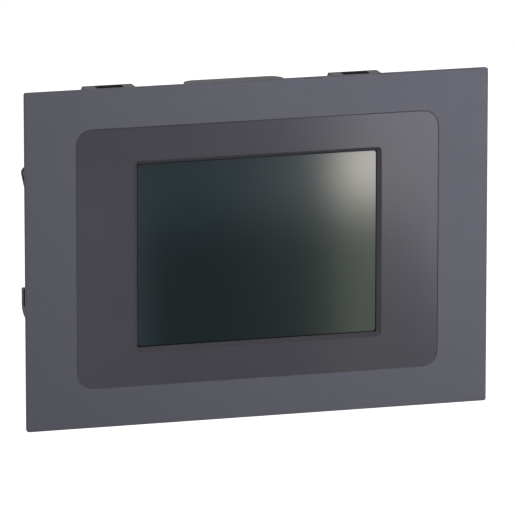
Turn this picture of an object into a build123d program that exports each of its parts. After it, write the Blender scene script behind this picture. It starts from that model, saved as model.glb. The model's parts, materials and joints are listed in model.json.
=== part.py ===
"""Panel-mount operator terminal with a 5.7 inch touch display, as an assembly of its separate pieces.

Row frame, in millimetres: X to the right and Z up as the operator sees the terminal, Y away from the
operator. The origin is the centre of the door cut-out, on the rear face of the front flange.
"""

from build123d import *
import os

# ---------------------------------------------------------------- front flange and the sheet on it
PLATE_W, PLATE_H, PLATE_T = 222.0, 159.0, 2.2
PLATE_CORNER_R, PLATE_EDGE_R = 1.0, 0.3
FRONT_Y = -PLATE_T
OVERLAY_W, OVERLAY_H, OVERLAY_R = 173.8, 121.8, 7.5
OVERLAY_T = 0.25
OVERLAY_GAP = 0.2
WINDOW_W, WINDOW_H, WINDOW_R = 115.2, 86.4, 0.6
BEVEL_RUN, BEVEL_R = 1.8, 2.0

# ---------------------------------------------------------------- rim that goes through the door
FLANGE_OVERLAP = 8.0
RIM_W, RIM_H = PLATE_W - 2 * FLANGE_OVERLAP, PLATE_H - 2 * FLANGE_OVERLAP + 0.4
RIM_R, RIM_T, RIM_END = 4.0, 2.5, 14.0
GASKET_OFFSET, GASKET_W = 1.5, 4.0
GASKET_SUNK, GASKET_PROUD, GASKET_EDGE_R = 1.0, 0.8, 0.6
BOSS_R, BOSS_HOLE_R, BOSS_FLOOR_Y = 3.5, 1.5, 3.0

# ---------------------------------------------------------------- rear case
WALL = 2.2
CASE_FLANGE_END = RIM_END + 2.5
BODY_W, BODY_H, BODY_R, BODY_END = 193.0, 132.0, 5.0, 48.1
HUMP_W, HUMP_LOW, HUMP_HIGH, HUMP_R, HUMP_END = 172.0, -46.0, 56.0, 6.0, 57.8
LUG_X, LUG_TOP_W, LUG_BASE_W, LUG_TOP, LUG_END = 59.6, 23.7, 29.0, 71.7, 45.4
SLOT_W, SLOT_Y0, SLOT_Y1, SLOT_DEPTH = 12.9, LUG_END - 9.5, LUG_END - 1.2, 5.2
LUG_ROOT = 1.0
HOOD_W, HOOD_R = 48.0, 6.0
BAY_W, BAY_Z = 89.0, -60.0
BODY_EDGE_R, HUMP_EDGE_R = 1.5, 2.0
LIP_H, LIP_GAP, LIP_BOSS_GAP_R = 1.5, 0.3, 4.0
VENT_W, VENT_L, VENT_PITCH, VENT_FIRST_X, VENT_COUNT = 2.4, 22.0, 5.0, 12.0, 14
VENT_ROWS = (38.0, -28.0)
SIDE_VENT_PITCH, SIDE_VENT_COUNT, SIDE_VENT_MARGIN = 6.0, 25, 1.0
LABEL_W, LABEL_H, LABEL_R, LABEL_T, LABEL_X, LABEL_Z = 78.0, 50.0, 2.0, 0.12, -38.0, 4.0
CASE_SCREW_HOLE_R = 1.7
CASE_SCREWS = [(sx * x, sz * z) for x, z in ((98.4, 67.1), (35.0, 68.85)) for sx in (-1, 1) for sz in (-1, 1)]

# ---------------------------------------------------------------- display stack, front to rear
TAPE_Y0, TAPE_Y1 = 0.0, 0.3
FILM_Y1, GLASS_Y1 = 0.5, 2.3
TOUCH_W, TOUCH_H, TOUCH_R = 132.0, 104.0, 0.8
TAPE_INSET, TAPE_SETBACK = 0.5, 1.9
LCD_GASKET_Y1, LCD_GASKET_INSET, LCD_OPENING_SETBACK = 3.0, 2.0, 1.2
TAIL_X, TAIL_W, TAIL_DROP, TAIL_Y, TAIL_END_Z = 56.0, 12.0, 8.3, 23.3, -55.4
RIBBON_X, RIBBON_W, RIBBON_T = 20.0, 20.0, 0.25
RIBBON_Z = (40.0, 32.0, 26.0)
RIBBON_BACK_Y = 18.9
LCD_W, LCD_H, LCD_SHEET, LCD_FRAME_END = 144.0, 104.6, 0.5, 9.5
CELL_W, CELL_H, CELL_R = 123.6, 94.2, 0.4
CELL_Y0, CELL_Y1 = 3.7, 5.9
FILMS_Y0, FILMS_Y1 = 6.0, 6.5
GUIDE_Y0, GUIDE_Y1 = 6.6, 9.6
TRAY_Y0, TRAY_FLOOR_Y, TRAY_END, TRAY_GAP = 3.6, 10.2, 12.5, 0.6
LED_BAR_W, LED_STRIP_T, LED_T, LED_L, LED_PITCH, LED_COUNT = 3.4, 1.0, 1.2, 3.0, 7.2, 12
LCD_EAR_X, LCD_EAR_Z, LCD_EAR_R, LCD_EAR_HOLE_R = 77.0, 42.0, 3.2, 1.2
LCD_BOSS_R, LCD_BOSS_HOLE_R, LCD_BOSS_END = 3.0, 1.05, 10.3
LCD_SCREW_TIP = 4.5

# ---------------------------------------------------------------- electronics
SHIELD_Y0, SHIELD_Y1 = RIM_END, RIM_END + 1.0
SHIELD_W, SHIELD_H = 180.0, 114.0
SHIELD_X, SHIELD_Z, SHIELD_R, SHIELD_HOLE_R = 86.0, 52.0, 3.0, 1.7
BOARD_Y0, BOARD_Y1 = 20.0, 21.6
BOARD_W, BOARD_LOW, BOARD_HIGH, BOARD_R = 182.0, -62.5, 60.0, 5.0
BOSS_NOTCH_X0, BOSS_NOTCH_X1, BOSS_NOTCH_Z = 49.0, 63.0, -59.4
STANDOFF_R, STANDOFF_FOOT_R, STANDOFF_HOLE_R, BOARD_HOLE_R = 3.0, 2.0, 1.3, 1.6
STANDOFFS = [(sx * 80.0, sz * 44.0) for sx in (-1, 1) for sz in (-1, 1)] + [(0.0, 45.0), (0.0, -28.0)]
CHIP_X, CHIP_Z, CHIP_SIDE, CHIP_H = 25.0, 6.0, 27.0, 1.6
PAD_T = 0.3
SINK_SIDE, SINK_BASE, SINK_END, SINK_FINS, SINK_GAP_SHARE = 38.0, 3.0, 38.0, 9, 0.64
MEMORY_W, MEMORY_H, MEMORY_T = 11.0, 18.0, 1.2
MEMORY_PLACES = [(58.0, 16.0), (58.0, -4.0), (-6.0, 4.0)]
CAN_R, CAN_END, CAN_EDGE_R, CAN_Z = 5.0, 38.0, 0.8, 52.0
CAN_FIRST_X, CAN_PITCH, CAN_COUNT = -72.0, 14.0, 3
CRIMP_Y, CRIMP_W, CRIMP_DEPTH = 24.0, 0.8, 0.5
COIL_X, COIL_Z, COIL_W, COIL_H, COIL_T = -44.0, 26.0, 20.0, 18.0, 13.0
CELL_HOLDER_X, CELL_HOLDER_Z, CELL_HOLDER_R, CELL_HOLDER_END = 57.0, 42.0, 12.0, 26.4
COIN_R, COIN_Y0, COIN_Y1 = 10.0, 22.7, 25.9

# ---------------------------------------------------------------- connectors on the underside
ETHERNET_X, COM2_X, COM1_X, USB_X, MINI_USB_X = -35.0, -17.0, 9.0, 35.5, 84.0
JACK_W, JACK_H, JACK_L = 16.0, 13.5, 21.3
JACK_PROUD = 0.3
JACK_MOUTH_D = 13.0
JACK_STEPS = [(5.95, 2.8, 9.6), (3.2, 1.2, 2.8), (1.7, 0.6, 1.2)]
LAMP_X, LAMP_W, LAMP_H, LAMP_SUNK = 5.3, 3.2, 1.8, 0.4
WIRE_COUNT, WIRE_PITCH, WIRE_W, WIRE_T, WIRE_L, WIRE_Y = 8, 1.02, 0.4, 0.6, 10.5, 9.0
DSUB_Y = 29.0
DSUB_FLANGE_W, DSUB_FLANGE_H, DSUB_FLANGE_T = 30.8, 12.5, 0.8
DSUB_SHELL_W, DSUB_SHELL_H, DSUB_SHELL_L, DSUB_SHELL_T = 16.9, 8.3, 5.9, 0.4
DSUB_PITCH, DSUB_ROW, DSUB_PIN_R = 2.77, 2.84, 0.5
DSUB_SLANT, DSUB_CORNER_R = 0.176, 1.6
DSUB_BLOCK_W, DSUB_BLOCK_H, DSUB_BLOCK_L, DSUB_FOOT_L, DSUB_PIN_ROOT = 19.0, 10.4, 9.0, 5.0, 2.9
DSUB_HOLE_R, NUT_STEM_R = 1.55, 1.5
HOST_W, HOST_H, HOST_L, HOST_SHEET = 13.2, 5.9, 14.0, 0.35
HOST_TONGUE_W, HOST_TONGUE_Y0, HOST_TONGUE_Y1 = 11.2, 3.4, 5.3
SMALL_W, SMALL_H, SMALL_L, SMALL_SHEET = 7.7, 3.95, 9.2, 0.35
SMALL_TONGUE_W, SMALL_TONGUE_Y0, SMALL_TONGUE_Y1 = 4.0, 1.5, 2.4
JACKSCREW_SPACING, JACKSCREW_R, JACKSCREW_L, JACKNUT_AF = 25.0, 1.25, 4.6, 4.8

# ---------------------------------------------------------------- power connector
PLUG_X, PLUG_POLES, PLUG_PITCH = -83.5, 3, 5.08
PLUG_W = PLUG_POLES * PLUG_PITCH + 0.3
PLUG_Y0, PLUG_Y1, PLUG_NOSE_Y1 = 22.8, 36.3, 30.6
PLUG_FACE_Z, PLUG_TOP_Z, PLUG_NOSE_Z = -78.0, -66.6, -57.5
HEADER_WALL, HEADER_GAP, HEADER_BACK_Z, HEADER_FACE_Z = 1.0, 0.15, -54.5, -66.3
CLAMP_Z, CLAMP_SCREW_R, CLAMP_HEAD_R, CLAMP_HEAD_T = -72.2, 1.25, 2.1, 1.6
CLAMP_HEAD_Y, CLAMP_TIP_Y = 33.2, 27.7
CAGE_W, CAGE_L, CAGE_SIDE, CAGE_FLOOR, CAGE_ROOF = 3.9, 6.0, 0.45, 0.8, 1.6
CAGE_Y0, CAGE_Y1, CAGE_TRAVEL = 23.9, 29.6, 1.9
CLAMP_SLOT_W, CLAMP_SLOT_DEPTH, WIRE_ENTRY_W, PLUG_CHAMFER = 0.7, 0.9, 3.2, 0.6
CONTACT_Y0, CONTACT_Y1, CONTACT_HALF, SOCKET_Y0 = 26.7, 27.6, 1.1, 25.0
SOCKET_LOW, SOCKET_HIGH = -65.6, -58.3
PIN_HALF, SLACK = 0.5, 0.05
PIN_Y0, PIN_Y1, PIN_TIP_Z, PIN_BACK_Z = 25.65, 26.65, -65.0, -52.9

# ---------------------------------------------------------------- side door and what it covers
HINGE_X, HINGE_Z, HINGE_EAR_R, HINGE_BARREL_R = -98.1, 32.6, 2.9, 2.7
EAR_FOOT_X, EAR_FOOT_Z, EAR_LOW = -99.6, 25.6, 24.6
HINGE_PIN_R, HINGE_CLEARANCE = 1.0, 0.04
EAR_T, DOOR_OPENING_Y0, DOOR_OPENING_Y1 = 2.2, 21.4, LUG_END - 2.2
DOOR_OPENING_LOW, DOOR_OPENING_HIGH = -35.3, 35.5
DOOR_FACE_X, DOOR_T, DOOR_Y0, DOOR_Y1 = -98.3, 1.6, 19.6, LUG_END
DOOR_LOW, DOOR_HIGH = -39.3, 24.2
GRIP_X, GRIP_HIGH, GRIP_FLAT_LOW = -101.1, -22.0, -29.9
LATCH_W, LATCH_T, LATCH_L, LATCH_Y0 = 9.0, 1.4, 2.0, 25.0
DOOR_CORNER_R, GROOVE_SUNK, GROOVE_Y0, GROOVE_Y1 = 2.0, 1.2, LUG_END - 7.0, LUG_END - 3.6
SD_X0, SD_X1, SD_LOW, SD_HIGH, SD_END = -90.8, -62.5, -27.0, 2.0, 24.5
CARD_W, SD_SHEET = 24.3, 0.35
DIP_Z, DIP_W, DIP_X0, DIP_X1, DIP_Y1, DIP_POLES, DIP_PITCH = 12.5, 6.6, -91.5, -85.5, 26.6, 2, 2.54
DIP_SLIDER, DIP_TRAVEL, DIP_PROUD, DIP_SLIDER_Y0 = 1.1, 1.5, 0.6, 22.9
RESET_Z, RESET_BODY, RESET_X1, RESET_R, RESET_TRAVEL = 23.5, 6.0, -87.5, 1.6, 0.4
RESET_Y, RESET_TIP_X, RESET_DEPTH = 24.6, -94.0, 2.8


# ---------------------------------------------------------------- shape helpers
def block(x0, x1, y0, y1, z0, z1):
    """A box between two corners."""
    return Pos((x0 + x1) / 2, (y0 + y1) / 2, (z0 + z1) / 2) * Box(x1 - x0, y1 - y0, z1 - z0)


def prism_y(sketch, y0, y1):
    """A sketch drawn as the operator sees it, running in depth from y0 to y1."""
    plane = Plane(origin=(0, y1, 0), x_dir=(1, 0, 0), z_dir=(0, -1, 0))
    return extrude(plane * sketch, amount=y1 - y0)


def prism_z(sketch, z0, z1):
    """A sketch drawn in X and Y, standing from z0 to z1."""
    return extrude(Plane.XY.offset(z0) * sketch, amount=z1 - z0)


def panel(width, height, radius, y0, y1, x=0.0, z=0.0):
    """A plate with rounded corners that faces the operator."""
    return prism_y(Pos(x, z) * RectangleRounded(width, height, radius), y0, y1)


def ring(outer, inner, y0, y1):
    """A rectangular frame: outer and inner are (width, height, corner radius)."""
    return prism_y(RectangleRounded(*outer) - RectangleRounded(*inner), y0, y1)


def rod_y(x, z, radius, y0, y1):
    """A round bar along the depth."""
    return Pos(x, (y0 + y1) / 2, z) * Rot(90, 0, 0) * Cylinder(radius, y1 - y0)


def rod_z(x, y, radius, z0, z1):
    return Pos(x, y, (z0 + z1) / 2) * Cylinder(radius, z1 - z0)


def rod_x(y, z, radius, x0, x1):
    return Pos((x0 + x1) / 2, y, z) * Rot(0, 90, 0) * Cylinder(radius, x1 - x0)


def spaced(middle, pitch, count):
    """Evenly spaced places either side of a middle."""
    return [middle + (i - (count - 1) / 2) * pitch for i in range(count)]


def together(shapes):
    """Several separate solids kept in one node."""
    return Compound(children=[solid for shape in shapes for solid in shape.solids()])


def pan_screw(x, z, under_head, tip, shaft_r=1.45, head_r=2.6, head_t=2.0):
    """A cross-head machine screw along Y, its head towards the rear of the terminal."""
    top = under_head + head_t
    head = fillet(rod_y(x, z, head_r, under_head, top).edges().group_by(Axis.Y)[-1], head_t * 0.4)
    arm, width, sunk = head_r * 1.2, head_r * 0.26, head_t * 0.55
    cross = block(x - arm / 2, x + arm / 2, top - sunk, top, z - width / 2, z + width / 2)
    cross += block(x - width / 2, x + width / 2, top - sunk, top, z - arm / 2, z + arm / 2)
    return head - cross + rod_y(x, z, shaft_r, tip, under_head)


def ribbon(points, x, width, thickness, bend):
    """A flat cable that follows (y, z) points at one place across the terminal."""
    path = FilletPolyline(*[(x, y, z) for y, z in points], radius=bend)
    section = Plane(origin=path @ 0, x_dir=(1, 0, 0), z_dir=path % 0) * Rectangle(width, thickness)
    return sweep(section, path=path)


# ---------------------------------------------------------------- front of the terminal
def front_bezel():
    """Flange plate with the bevelled window, the rim behind it and the screw bosses."""
    plate = panel(PLATE_W, PLATE_H, PLATE_CORNER_R, FRONT_Y, 0)
    plate = fillet(plate.faces().sort_by(Axis.Y)[0].edges(), PLATE_EDGE_R)
    rim_outline = (RIM_W, RIM_H, RIM_R)
    rim = ring(rim_outline, (RIM_W - 2 * RIM_T, RIM_H - 2 * RIM_T, RIM_R - RIM_T), 0, RIM_END)
    screw_places = CASE_SCREWS + corners(SHIELD_X, SHIELD_Z)
    bosses = [rod_y(x, z, BOSS_R, 0, RIM_END) for x, z in screw_places]
    ear_places = corners(LCD_EAR_X, LCD_EAR_Z)
    bosses += [rod_y(x, z, LCD_BOSS_R, 0, LCD_BOSS_END) for x, z in ear_places]
    inside = prism_y(RectangleRounded(*rim_outline), 0, RIM_END)
    body = plate + [rim] + [boss & inside for boss in bosses]
    cuts = [rod_y(x, z, BOSS_HOLE_R, BOSS_FLOOR_Y, RIM_END) for x, z in screw_places]
    cuts += [rod_y(x, z, LCD_BOSS_HOLE_R, BOSS_FLOOR_Y, LCD_BOSS_END) for x, z in ear_places]
    rebate_w, rebate_h = OVERLAY_W + 2 * OVERLAY_GAP, OVERLAY_H + 2 * OVERLAY_GAP
    cuts.append(panel(rebate_w, rebate_h, OVERLAY_R + OVERLAY_GAP, FRONT_Y, FRONT_Y + OVERLAY_T))
    cuts.append(ring(*gasket_outlines(), -GASKET_SUNK, 0))
    return body - cuts - window_cut()


def corners(x, z):
    return [(sx * x, sz * z) for sx in (-1, 1) for sz in (-1, 1)]


def window_cut():
    """The display opening, wider at the front where its edge is bevelled."""
    front = Plane(origin=(0, FRONT_Y + OVERLAY_T, 0), x_dir=(1, 0, 0), z_dir=(0, -1, 0))
    rear = Plane(origin=(0, 0, 0), x_dir=(1, 0, 0), z_dir=(0, -1, 0))
    wide = RectangleRounded(WINDOW_W + 2 * BEVEL_RUN, WINDOW_H + 2 * BEVEL_RUN, BEVEL_R)
    return loft([front * wide, rear * RectangleRounded(WINDOW_W, WINDOW_H, WINDOW_R)])


def gasket_outlines():
    low, high = GASKET_OFFSET, GASKET_OFFSET + GASKET_W
    outer = (RIM_W + 2 * high, RIM_H + 2 * high, RIM_R + high)
    inner = (RIM_W + 2 * low, RIM_H + 2 * low, RIM_R + low)
    return outer, inner


def front_overlay():
    """Thin printed sheet bonded into the flange, with its opening at the top of the bevel."""
    outer = (OVERLAY_W, OVERLAY_H, OVERLAY_R)
    inner = (WINDOW_W + 2 * BEVEL_RUN, WINDOW_H + 2 * BEVEL_RUN, BEVEL_R)
    return ring(outer, inner, FRONT_Y, FRONT_Y + OVERLAY_T)


def panel_gasket():
    """Rubber seal in the flange's groove, its rear edges rounded."""
    seal = ring(*gasket_outlines(), -GASKET_SUNK, GASKET_PROUD)
    return fillet(seal.faces().sort_by(Axis.Y)[-1].edges(), GASKET_EDGE_R)


# ---------------------------------------------------------------- touch panel and display
def frame_strip(inset, setback, y0, y1):
    """A thin frame of tape or foam: inset from the touch panel's edge and set back from the window's."""
    outer = (TOUCH_W - 2 * inset, TOUCH_H - 2 * inset, 1.0)
    inner = (WINDOW_W + 2 * setback, WINDOW_H + 2 * setback, 1.0)
    return ring(outer, inner, y0, y1)


def touch_tape():
    return frame_strip(TAPE_INSET, TAPE_SETBACK, TAPE_Y0, TAPE_Y1)


def touch_film():
    return panel(TOUCH_W, TOUCH_H, TOUCH_R, TAPE_Y1, FILM_Y1)


def touch_glass():
    return panel(TOUCH_W, TOUCH_H, TOUCH_R, FILM_Y1, GLASS_Y1)


def touch_tail():
    """Flexible tail from the foot of the touch panel, behind the display, to the board."""
    y = (FILM_Y1 + GLASS_Y1) / 2
    foot = -TOUCH_H / 2
    points = [(y, foot), (y, foot - TAIL_DROP), (TAIL_Y, foot - TAIL_DROP), (TAIL_Y, TAIL_END_Z)]
    return ribbon(points, TAIL_X, TAIL_W, RIBBON_T, 0.7)


def lcd_gasket():
    return frame_strip(LCD_GASKET_INSET, LCD_OPENING_SETBACK, GLASS_Y1, LCD_GASKET_Y1)


def lcd_metal_frame():
    """Folded sheet cover that holds the display's pieces together."""
    y0, setback = LCD_GASKET_Y1, 2 * LCD_OPENING_SETBACK
    body = panel(LCD_W, LCD_H, 1.0, y0, LCD_FRAME_END)
    body -= panel(LCD_W - 2 * LCD_SHEET, LCD_H - 2 * LCD_SHEET, 0.5, y0 + LCD_SHEET, LCD_FRAME_END)
    return body - panel(WINDOW_W + setback, WINDOW_H + setback, WINDOW_R, y0, y0 + LCD_SHEET)


def lcd_cell():
    return panel(CELL_W, CELL_H, CELL_R, CELL_Y0, CELL_Y1)


def diffuser_films():
    return panel(CELL_W, CELL_H, CELL_R, FILMS_Y0, FILMS_Y1)


def light_guide():
    x0 = -CELL_W / 2 + LED_BAR_W
    return block(x0, CELL_W / 2, GUIDE_Y0, GUIDE_Y1, -CELL_H / 2, CELL_H / 2)


def led_bar():
    """Strip of white diodes beside the light guide."""
    x0 = -CELL_W / 2
    x1 = x0 + LED_STRIP_T
    strip = block(x0, x1, GUIDE_Y0, GUIDE_Y1, -CELL_H / 2 + 2, CELL_H / 2 - 2)
    for z in spaced(0, LED_PITCH, LED_COUNT):
        strip += block(x1, x1 + LED_T, GUIDE_Y0 + 0.6, GUIDE_Y1 - 0.6, z - LED_L / 2, z + LED_L / 2)
    return strip


def lcd_back_tray():
    """Moulded tray behind the display, screwed to the bezel by four ears."""
    body = panel(LCD_W - 2 * TRAY_GAP, LCD_H - 2 * TRAY_GAP, CELL_R, TRAY_Y0, TRAY_END)
    body -= panel(CELL_W + 0.4, CELL_H + 0.4, CELL_R, TRAY_Y0, TRAY_FLOOR_Y)
    for x, z in corners(LCD_EAR_X, LCD_EAR_Z):
        root = x * 0.9
        arm = block(min(x, root), max(x, root), LCD_BOSS_END, TRAY_END, z - LCD_EAR_R, z + LCD_EAR_R)
        body += arm + rod_y(x, z, LCD_EAR_R, LCD_BOSS_END, TRAY_END)
    holes = [rod_y(x, z, LCD_EAR_HOLE_R, LCD_BOSS_END, TRAY_END) for x, z in corners(LCD_EAR_X, LCD_EAR_Z)]
    return body - holes


def lcd_screws():
    places = corners(LCD_EAR_X, LCD_EAR_Z)
    return together([pan_screw(x, z, TRAY_END, LCD_SCREW_TIP, 1.0, 1.9, 1.2) for x, z in places])


def lcd_ribbon():
    """Flat cable from the back of the display, through the shield, to the board."""
    start, slot, socket = RIBBON_Z
    behind = TRAY_END + 0.9
    points = [(TRAY_END, start), (behind, start), (behind, slot)]
    points += [(RIBBON_BACK_Y, slot), (RIBBON_BACK_Y, socket)]
    return ribbon(points, RIBBON_X, RIBBON_W, RIBBON_T, 0.35)


# ---------------------------------------------------------------- chassis and board
def shield_plate():
    """Sheet-steel plate behind the display that carries the board."""
    body = panel(SHIELD_W, SHIELD_H, SHIELD_R, SHIELD_Y0, SHIELD_Y1)
    cuts = [rod_y(x, z, SHIELD_HOLE_R, SHIELD_Y0, SHIELD_Y1) for x, z in corners(SHIELD_X, SHIELD_Z)]
    cuts += [rod_y(x, z, STANDOFF_FOOT_R, SHIELD_Y0, SHIELD_Y1) for x, z in STANDOFFS]
    half, slot = RIBBON_W / 2 + 2, RIBBON_Z[1]
    cable_slot = block(RIBBON_X - half, RIBBON_X + half, SHIELD_Y0, SHIELD_Y1, slot - 2, slot + 2)
    return body - cuts - cable_slot


def chassis_screws():
    return together([pan_screw(x, z, SHIELD_Y1, 5.0) for x, z in corners(SHIELD_X, SHIELD_Z)])


def board_standoffs():
    """Hexagonal standoffs pressed into the shield plate."""
    made = []
    for x, z in STANDOFFS:
        post = prism_y(Pos(x, z) * RegularPolygon(STANDOFF_R, 6), SHIELD_Y1, BOARD_Y0)
        post += rod_y(x, z, STANDOFF_FOOT_R, SHIELD_Y0, SHIELD_Y1)
        made.append(post - rod_y(x, z, STANDOFF_HOLE_R, SHIELD_Y0 + 1, BOARD_Y0))
    return together(made)


def board_screws():
    return together([pan_screw(x, z, BOARD_Y1, 16.5, 1.25, 2.4, 1.6) for x, z in STANDOFFS])


def main_board():
    """Circuit board, notched at its foot for the connector bay."""
    height = BOARD_HIGH - BOARD_LOW
    body = panel(BOARD_W, height, BOARD_R, BOARD_Y0, BOARD_Y1, z=(BOARD_HIGH + BOARD_LOW) / 2)
    bay = BAY_W / 2 + WALL + 0.4
    cuts = [block(-bay, bay, BOARD_Y0, BOARD_Y1, BOARD_LOW, BAY_Z + WALL + 0.6)]
    cuts.append(block(BOSS_NOTCH_X0, BOSS_NOTCH_X1, BOARD_Y0, BOARD_Y1, BOARD_LOW, BOSS_NOTCH_Z))
    cuts += [rod_y(x, z, BOARD_HOLE_R, BOARD_Y0, BOARD_Y1) for x, z in STANDOFFS]
    return body - cuts


def on_board(x, z, width, height, thickness, radius=0.3):
    """A flat package on the rear face of the board."""
    return panel(width, height, radius, BOARD_Y1, BOARD_Y1 + thickness, x, z)


def processor_chip():
    return on_board(CHIP_X, CHIP_Z, CHIP_SIDE, CHIP_SIDE, CHIP_H)


def thermal_pad():
    y0 = BOARD_Y1 + CHIP_H
    return panel(CHIP_SIDE - 3, CHIP_SIDE - 3, 0.5, y0, y0 + PAD_T, CHIP_X, CHIP_Z)


def heat_sink():
    """Extruded aluminium block with upright fins."""
    y0 = BOARD_Y1 + CHIP_H + PAD_T
    body = panel(SINK_SIDE, SINK_SIDE, 1.0, y0, SINK_END, CHIP_X, CHIP_Z)
    pitch = SINK_SIDE / SINK_FINS
    half_gap = pitch * SINK_GAP_SHARE / 2
    low, high = CHIP_Z - SINK_SIDE / 2, CHIP_Z + SINK_SIDE / 2
    for x in spaced(CHIP_X, pitch, SINK_FINS - 1):
        body -= block(x - half_gap, x + half_gap, y0 + SINK_BASE, SINK_END, low, high)
    return body


def memory_chips():
    return together([on_board(x, z, MEMORY_W, MEMORY_H, MEMORY_T) for x, z in MEMORY_PLACES])


def power_capacitors():
    """Electrolytic cans with a crimped groove near the foot."""
    cans = []
    crimp_end = CRIMP_Y + CRIMP_W
    for x in [CAN_FIRST_X + CAN_PITCH * i for i in range(CAN_COUNT)]:
        can = rod_y(x, CAN_Z, CAN_R, BOARD_Y1, CAN_END)
        can = fillet(can.edges().group_by(Axis.Y)[-1], CAN_EDGE_R)
        core = rod_y(x, CAN_Z, CAN_R - CRIMP_DEPTH, CRIMP_Y, crimp_end)
        cans.append(can - (rod_y(x, CAN_Z, CAN_R, CRIMP_Y, crimp_end) - core))
    return together(cans)


def transformer():
    """Ferrite block, hollowed above and below where the windings sit back."""
    core = on_board(COIL_X, COIL_Z, COIL_W, COIL_H, COIL_T, 0.5)
    half, y0, y1 = COIL_W / 2 - 3, BOARD_Y1 + 2.5, BOARD_Y1 + COIL_T - 2.5
    for z in (COIL_Z - COIL_H / 2, COIL_Z + COIL_H / 2):
        core -= block(COIL_X - half, COIL_X + half, y0, y1, z - 3, z + 3)
    return core


def coin_cell_holder():
    """Round cup for the clock cell, with a notch above for levering the cell out."""
    x, z, floor = CELL_HOLDER_X, CELL_HOLDER_Z, COIN_Y0 - 0.1
    base = rod_y(x, z, CELL_HOLDER_R, BOARD_Y1, CELL_HOLDER_END)
    base -= rod_y(x, z, COIN_R + 0.2, floor, CELL_HOLDER_END)
    return base - block(x - 5, x + 5, floor, CELL_HOLDER_END, z + COIN_R - 1, z + CELL_HOLDER_R + 1)


def coin_cell():
    cell = rod_y(CELL_HOLDER_X, CELL_HOLDER_Z, COIN_R, COIN_Y0, COIN_Y1)
    return fillet(cell.edges().group_by(Axis.Y)[-1], 0.5)


def ribbon_sockets():
    """Flat-cable sockets: the display's in front of the board, the touch panel's behind it."""
    half, foot = RIBBON_W / 2 + 2, RIBBON_Z[2]
    display = block(RIBBON_X - half, RIBBON_X + half, RIBBON_BACK_Y - 0.9, BOARD_Y0, foot - 6, foot)
    half = TAIL_W / 2 + 2
    touch = block(TAIL_X - half, TAIL_X + half, BOARD_Y1, TAIL_Y + 0.7, TAIL_END_Z, TAIL_END_Z + 5.4)
    return together([display, touch])


# ---------------------------------------------------------------- connectors on the underside
def jack(x):
    """Shielded eight-way modular socket that opens downwards, its latch notch stepped towards the board."""
    face, y0, y1 = BAY_Z - JACK_PROUD, BOARD_Y1, BOARD_Y1 + JACK_H
    body = block(x - JACK_W / 2, x + JACK_W / 2, y0, y1, face, face + JACK_L)
    body = fillet(body.edges().filter_by(Axis.Z), 0.5)
    back = face + JACK_MOUTH_D
    cuts = [block(x - half, x + half, y0 + low, y0 + high, face, back) for half, low, high in JACK_STEPS]
    for lamp_x in (x - LAMP_X, x + LAMP_X):
        near, far = lamp_x - LAMP_W / 2, lamp_x + LAMP_W / 2
        cuts.append(block(near, far, y1 - 0.8 - LAMP_H, y1 - 0.8, face, face + LAMP_SUNK))
    return body - cuts


def modular_jacks():
    """Network and serial sockets, side by side."""
    return together([jack(x) for x in (ETHERNET_X, COM2_X)])


def jack_contacts():
    """Eight sprung wires in each modular socket."""
    places = [x for jack_x in (ETHERNET_X, COM2_X) for x in spaced(jack_x, WIRE_PITCH, WIRE_COUNT)]
    half, y0, z0 = WIRE_W / 2, BOARD_Y1 + WIRE_Y, BAY_Z - JACK_PROUD + 2.0
    return together([block(x - half, x + half, y0, y0 + WIRE_T, z0, z0 + WIRE_L) for x in places])


def dsub_outline(width, height):
    """The slant-sided outline of a nine-way connector, drawn in X and Y."""
    half, rise = width / 2, height / 2
    narrow = half - height * DSUB_SLANT
    outline = make_face(Polyline((-half, rise), (half, rise), (narrow, -rise), (-narrow, -rise), close=True))
    return fillet(outline.vertices(), DSUB_CORNER_R)


def com1_shell():
    """Pressed flange and the slant-sided shell round the pins."""
    face = BAY_Z - DSUB_FLANGE_T
    flange = prism_z(Pos(COM1_X, DSUB_Y) * RectangleRounded(DSUB_FLANGE_W, DSUB_FLANGE_H, 1.5), face, BAY_Z)
    outer = Pos(COM1_X, DSUB_Y) * dsub_outline(DSUB_SHELL_W, DSUB_SHELL_H)
    thin = 2 * DSUB_SHELL_T
    inner = Pos(COM1_X, DSUB_Y) * dsub_outline(DSUB_SHELL_W - thin, DSUB_SHELL_H - thin)
    body = flange + prism_z(outer, face - DSUB_SHELL_L, face)
    body -= prism_z(inner, face - DSUB_SHELL_L, BAY_Z)
    return body - [rod_z(x, DSUB_Y, DSUB_HOLE_R, face, BAY_Z) for x in spaced(COM1_X, JACKSCREW_SPACING, 2)]


def com1_insulator():
    """Moulded block that carries the pins, from the shell back to the board."""
    face = BAY_Z - DSUB_FLANGE_T
    nose = Pos(COM1_X, DSUB_Y) * dsub_outline(DSUB_SHELL_W - 1.0, DSUB_SHELL_H - 1.0)
    x0, x1, back = COM1_X - DSUB_BLOCK_W / 2, COM1_X + DSUB_BLOCK_W / 2, BAY_Z + DSUB_BLOCK_L
    y0, y1 = DSUB_Y - DSUB_BLOCK_H / 2, DSUB_Y + DSUB_BLOCK_H / 2
    body = prism_z(nose, face + 0.1, BAY_Z + 0.2)
    body += block(x0, x1, y0, y1, BAY_Z + 0.1, back)
    body += block(x0, x1, BOARD_Y1, y0, back - DSUB_FOOT_L, back)
    return body - [rod_z(x, y, DSUB_PIN_R + 0.02, face, BAY_Z + DSUB_PIN_ROOT + 0.1) for x, y in pin_places()]


def pin_places():
    long_row = [(x, DSUB_Y + DSUB_ROW / 2) for x in spaced(COM1_X, DSUB_PITCH, 5)]
    short_row = [(x, DSUB_Y - DSUB_ROW / 2) for x in spaced(COM1_X, DSUB_PITCH, 4)]
    return long_row + short_row


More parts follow.
